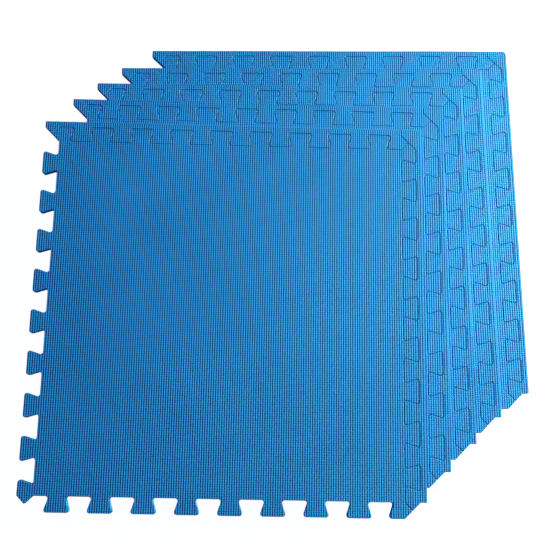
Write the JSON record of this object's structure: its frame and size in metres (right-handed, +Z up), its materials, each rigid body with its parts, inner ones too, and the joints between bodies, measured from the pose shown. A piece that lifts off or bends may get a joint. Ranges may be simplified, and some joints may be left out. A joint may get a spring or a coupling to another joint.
{
  "type": "interlocking foam blocking mats",
  "caption": "Fanned pile of square foam mats for pinning out damp knitting. Each has dovetail tab edges, a straight border strip and a corner border strip.",
  "frame": {"origin": "middle of the underside of the bottom tile, on the floor", "axes": "+Z up; +Y from the near tab edge to the straight border strip of the bottom mat; +X towards its corner border strip"},
  "size_m": [0.834, 0.817, 0.0612],
  "materials": {
    "blue_foam": "matt, fine woven emboss"
  },
  "bodies": {
    "mat_1": {"tile_1": "blue_foam"},
    "end_border_1": {"end_border_1": "blue_foam"},
    "corner_border_1": {"corner_border_1": "blue_foam"},
    "mat_2": {"tile_2": "blue_foam"},
    "end_border_2": {"end_border_2": "blue_foam"},
    "corner_border_2": {"corner_border_2": "blue_foam"},
    "mat_3": {"tile_3": "blue_foam"},
    "end_border_3": {"end_border_3": "blue_foam"},
    "corner_border_3": {"corner_border_3": "blue_foam"},
    "mat_4": {"tile_4": "blue_foam"},
    "end_border_4": {"end_border_4": "blue_foam"},
    "corner_border_4": {"corner_border_4": "blue_foam"},
    "mat_5": {"tile_5": "blue_foam"},
    "end_border_5": {"end_border_5": "blue_foam"},
    "corner_border_5": {"corner_border_5": "blue_foam"}
  },
  "joints": [
    {"name": "mat_1_slide", "type": "slide", "parent": "mat_2", "child": "mat_1", "axis": [-0.6829, -0.7305, 0], "range_m": [-0.063, 0.06]},
    {"name": "mat_2_slide", "type": "slide", "parent": "mat_3", "child": "mat_2", "axis": [-0.7325, -0.6808, 0], "range_m": [-0.058, 0.06]},
    {"name": "mat_3_slide", "type": "slide", "parent": "mat_4", "child": "mat_3", "axis": [-0.7446, -0.6675, 0], "range_m": [-0.0584, 0.06]},
    {"name": "mat_4_slide", "type": "slide", "parent": "mat_5", "child": "mat_4", "axis": [-0.7963, -0.6049, 0], "range_m": [-0.0653, 0.06]},
    {"name": "end_border_1_lift", "type": "slide", "parent": "mat_1", "child": "end_border_1", "axis": [0, 0, 1], "range_m": [0, 0.065]},
    {"name": "corner_border_1_lift", "type": "slide", "parent": "mat_1", "child": "corner_border_1", "axis": [0, 0, 1], "range_m": [0, 0.065]},
    {"name": "end_border_2_lift", "type": "slide", "parent": "mat_2", "child": "end_border_2", "axis": [0, 0, 1], "range_m": [0, 0.065]},
    {"name": "corner_border_2_lift", "type": "slide", "parent": "mat_2", "child": "corner_border_2", "axis": [0, 0, 1], "range_m": [0, 0.065]},
    {"name": "end_border_3_lift", "type": "slide", "parent": "mat_3", "child": "end_border_3", "axis": [0, 0, 1], "range_m": [0, 0.065]},
    {"name": "corner_border_3_lift", "type": "slide", "parent": "mat_3", "child": "corner_border_3", "axis": [0, 0, 1], "range_m": [0, 0.065]},
    {"name": "end_border_4_lift", "type": "slide", "parent": "mat_4", "child": "end_border_4", "axis": [0, 0, 1], "range_m": [0, 0.065]},
    {"name": "corner_border_4_lift", "type": "slide", "parent": "mat_4", "child": "corner_border_4", "axis": [0, 0, 1], "range_m": [0, 0.065]},
    {"name": "end_border_5_lift", "type": "slide", "parent": "mat_5", "child": "end_border_5", "axis": [0, 0, 1], "range_m": [0, 0.065]},
    {"name": "corner_border_5_lift", "type": "slide", "parent": "mat_5", "child": "corner_border_5", "axis": [0, 0, 1], "range_m": [0, 0.065]}
  ]
}
